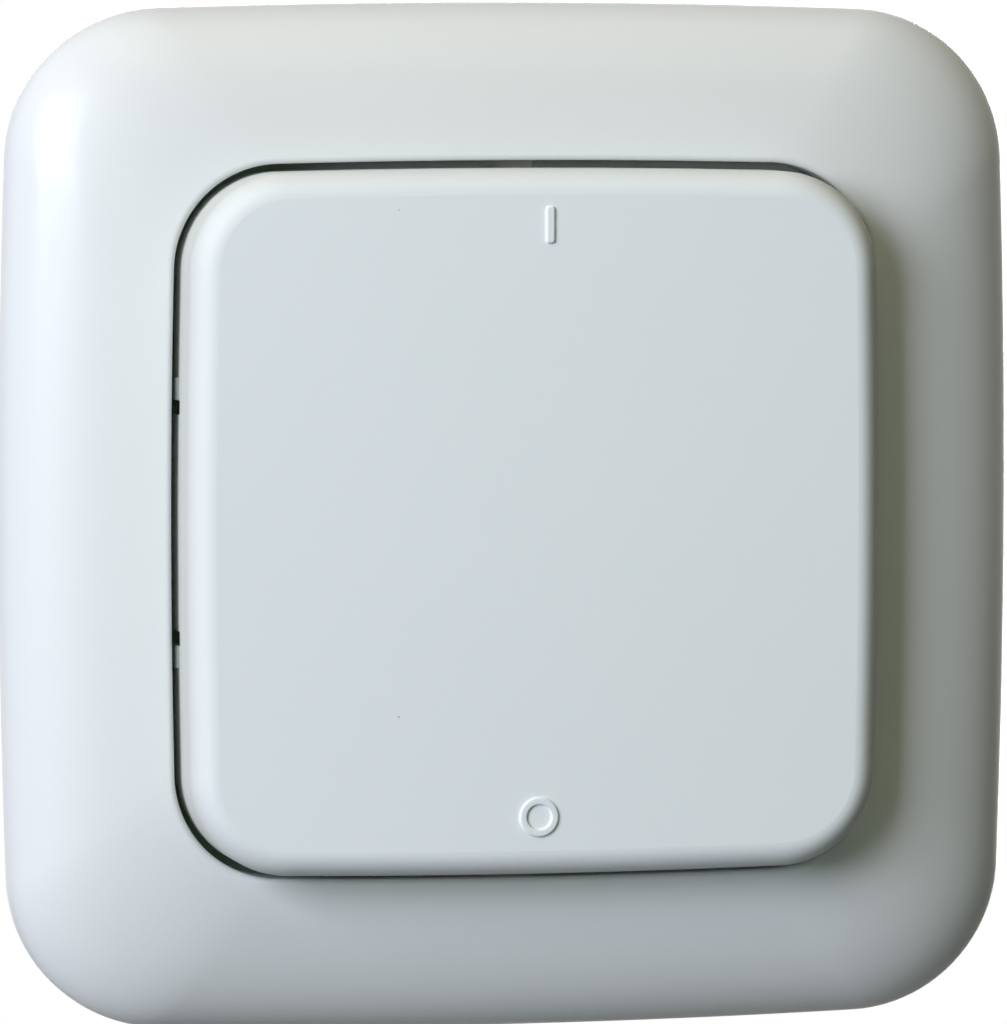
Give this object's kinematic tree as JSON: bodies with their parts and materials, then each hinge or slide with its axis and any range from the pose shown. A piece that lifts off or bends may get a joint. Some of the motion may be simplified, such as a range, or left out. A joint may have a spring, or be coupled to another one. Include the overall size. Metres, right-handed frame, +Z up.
{
  "type": "wireless wall switch",
  "caption": "Square wall-mounted radio light switch: a domed white cover frame with rounded corners around one raised rocker with bar and ring marks, over a coin-cell transmitter.",
  "frame": {"origin": "centre of the wall plate's back face, in the plane of the wall", "axes": "upright as on the wall: +Z up, +X to the right of a person who faces the switch, +Y into the wall, so the rocker faces -Y"},
  "size_m": [0.086, 0.0142, 0.086],
  "materials": {
    "frame_white": "polished white moulded plastic",
    "rocker_white": "polished white moulded plastic",
    "plate_white": "plain white moulded plastic",
    "case_grey": "dark grey moulded plastic",
    "screw_steel": "zinc-plated steel",
    "contact_steel": "nickel-plated spring steel",
    "cell_steel": "plain stainless steel",
    "board_green": "green solder mask",
    "black_plastic": "black moulded plastic",
    "stem_plastic": "natural moulded plastic",
    "pin_tin": "tinned",
    "lamp_clear": "clear red resin",
    "capacitor_tan": "fired tan body",
    "resistor_black": "black glaze"
  },
  "bodies": {
    "housing": {"wall_plate": "plate_white", "cover_frame": "frame_white", "transmitter_tray": "case_grey", "transmitter_cover": "case_grey", "cover_screws": "screw_steel", "circuit_board": "board_green", "coin_cell": "cell_steel", "cell_clip": "contact_steel", "cell_leaf": "contact_steel", "encoder_chip": "black_plastic", "resonator_can": "contact_steel", "radio_transistor": "black_plastic", "indicator_lamp": "lamp_clear", "chip_capacitors": "capacitor_tan", "chip_resistors": "resistor_black", "upper_switch_body": "black_plastic", "upper_switch_lid": "contact_steel", "upper_switch_dome": "contact_steel", "upper_switch_pins": "pin_tin", "lower_switch_body": "black_plastic", "lower_switch_lid": "contact_steel", "lower_switch_dome": "contact_steel", "lower_switch_pins": "pin_tin"},
    "rocker": {"rocker": "rocker_white"},
    "upper_stem": {"upper_switch_stem": "stem_plastic"},
    "lower_stem": {"lower_switch_stem": "stem_plastic"}
  },
  "joints": [
    {"name": "rocker_tilt", "type": "hinge", "parent": "housing", "child": "rocker", "pos_m": [0, -0.0056, 0], "axis": [1, 0, 0], "range_deg": [-1.8, 1.8], "stiffness_Nm_per_rad": 0.3},
    {"name": "upper_stem_slide", "type": "slide", "parent": "housing", "child": "upper_stem", "axis": [0, -1, 0], "range_m": [-0.000472, 0.000472], "deforming": ["upper_switch_dome"]},
    {"name": "lower_stem_slide", "type": "slide", "parent": "housing", "child": "lower_stem", "axis": [0, -1, 0], "range_m": [-0.000472, 0.000472], "deforming": ["lower_switch_dome"]}
  ],
  "couplings": [
    {"joint": "upper_stem_slide", "follows": "rocker_tilt", "m_per_rad": 0.015},
    {"joint": "lower_stem_slide", "follows": "rocker_tilt", "m_per_rad": -0.015}
  ]
}
